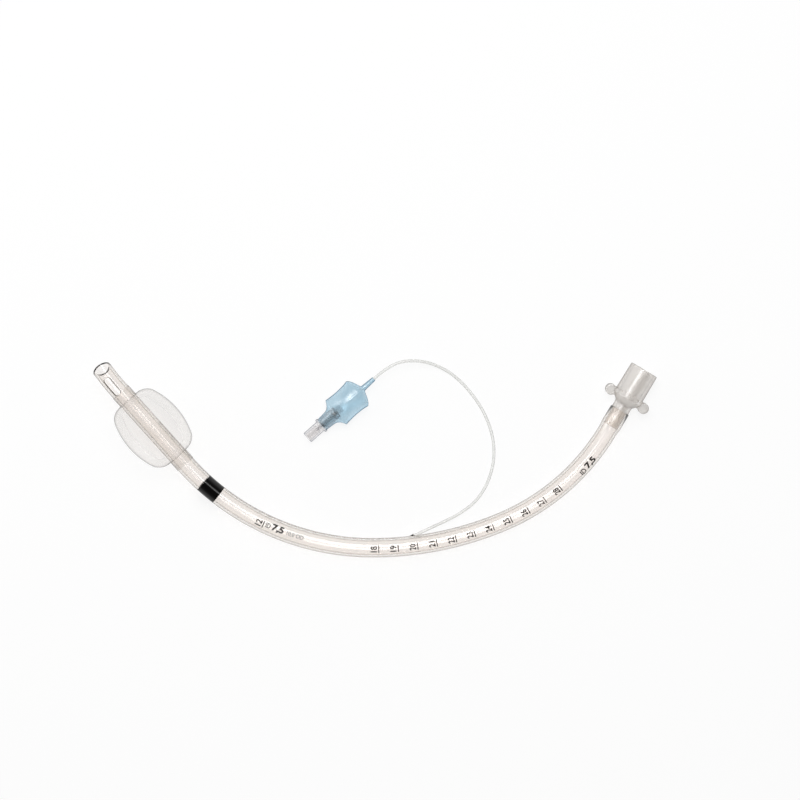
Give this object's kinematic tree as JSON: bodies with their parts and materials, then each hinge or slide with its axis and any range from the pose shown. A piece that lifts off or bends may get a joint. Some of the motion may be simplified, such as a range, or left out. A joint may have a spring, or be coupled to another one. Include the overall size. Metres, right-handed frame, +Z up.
{
  "type": "endotracheal tube",
  "caption": "Cuffed endotracheal tube of clear plastic with a notched cone connector, a thin inflation line and a pilot balloon with a sprung luer valve.",
  "frame": {"origin": "under the middle of the box round the tube, its cuff and its connector, at the height of the floor", "axes": "+X runs from the cuffed tip to the connector, +Y points to the inside of the bend, +Z is up from the floor the tube lies on"},
  "size_m": [0.2876, 0.1017, 0.032],
  "materials": {
    "tube_plastic": "clear soft PVC, smooth",
    "cuff_film": "thin clear film",
    "connector_plastic": "translucent moulded polypropylene",
    "line_plastic": "translucent soft PVC",
    "balloon_film": "light blue translucent film",
    "valve_plastic": "clear moulded plastic",
    "plunger_plastic": "white moulded plastic",
    "seal_rubber": "black rubber",
    "spring_steel": "drawn steel wire"
  },
  "bodies": {
    "airway": {"airway_tube": "tube_plastic", "cuff": "cuff_film", "connector": "connector_plastic", "inflation_line": "line_plastic", "pilot_balloon": "balloon_film", "valve_housing": "valve_plastic", "valve_retainer": "valve_plastic", "valve_spring": "spring_steel"},
    "plunger": {"valve_plunger": "plunger_plastic", "valve_seal": "seal_rubber"}
  },
  "joints": [
    {"name": "plunger_slide", "type": "slide", "parent": "airway", "child": "plunger", "axis": [0.7445, 0.6586, 0.1093], "range_m": [0, 0.0012], "stiffness_N_per_m": 200, "springref_m": -0.002, "deforming": ["valve_spring"]}
  ]
}
